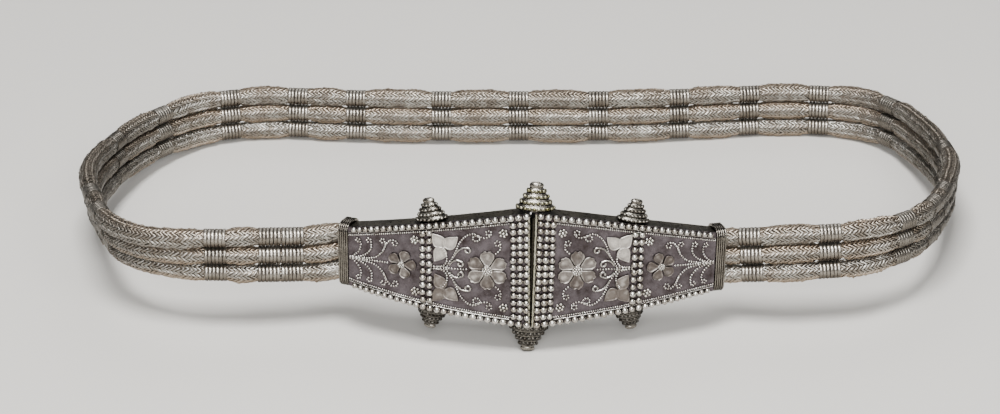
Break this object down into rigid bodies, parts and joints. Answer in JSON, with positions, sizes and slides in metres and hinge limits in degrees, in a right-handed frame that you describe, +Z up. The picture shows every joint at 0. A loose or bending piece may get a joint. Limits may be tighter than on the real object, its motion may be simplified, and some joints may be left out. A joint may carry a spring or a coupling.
{
  "type": "silver belt",
  "caption": "Silver belt of woven strands held side by side by wire-wound collars, closed by a two-part box clasp with granulated faces, beehive finials and a pull-out pin.",
  "frame": {"origin": "on the surface that the belt stands on, under the middle of its outline seen from above", "axes": "+X towards the wearer's left along the clasp, as the belt is seen from the front; +Y from the clasp to the back of the loop; +Z up"},
  "size_m": [0.2911, 0.1607, 0.0561],
  "materials": {
    "woven_strand": "knitted fine silver wire, dulled, with brownish grime between the loops",
    "collar": "wound silver wire, worn bright on the crowns of the turns and dark between them",
    "face": "silver sheet oxidised purple-brown, with worn bright granules, wire scrolls and flowers",
    "case": "hand-finished silver sheet, tarnished grey",
    "finial": "stacked beaded silver wire, dark in the grooves",
    "binding": "wound silver wire, tarnished"
  },
  "bodies": {
    "root": {"strand_top": "woven_strand", "strand_middle": "woven_strand", "strand_bottom": "woven_strand", "left_case": "case", "right_case": "case", "left_face": "face", "right_face": "face", "left_top_finial": "finial", "left_bottom_finial": "finial", "right_top_finial": "finial", "right_bottom_finial": "finial", "clasp_pin": "finial", "bottom_finial": "finial", "left_binding": "binding", "right_binding": "binding", "collar_01": "collar", "collar_02": "collar", "collar_03": "collar", "collar_04": "collar", "collar_05": "collar", "collar_06": "collar", "collar_07": "collar", "collar_08": "collar", "collar_09": "collar", "collar_10": "collar", "collar_11": "collar", "collar_12": "collar", "collar_13": "collar", "collar_14": "collar", "collar_15": "collar", "collar_16": "collar", "collar_17": "collar", "collar_18": "collar", "collar_19": "collar", "collar_20": "collar", "collar_21": "collar", "collar_22": "collar", "collar_23": "collar"}
  },
  "joints": []
}
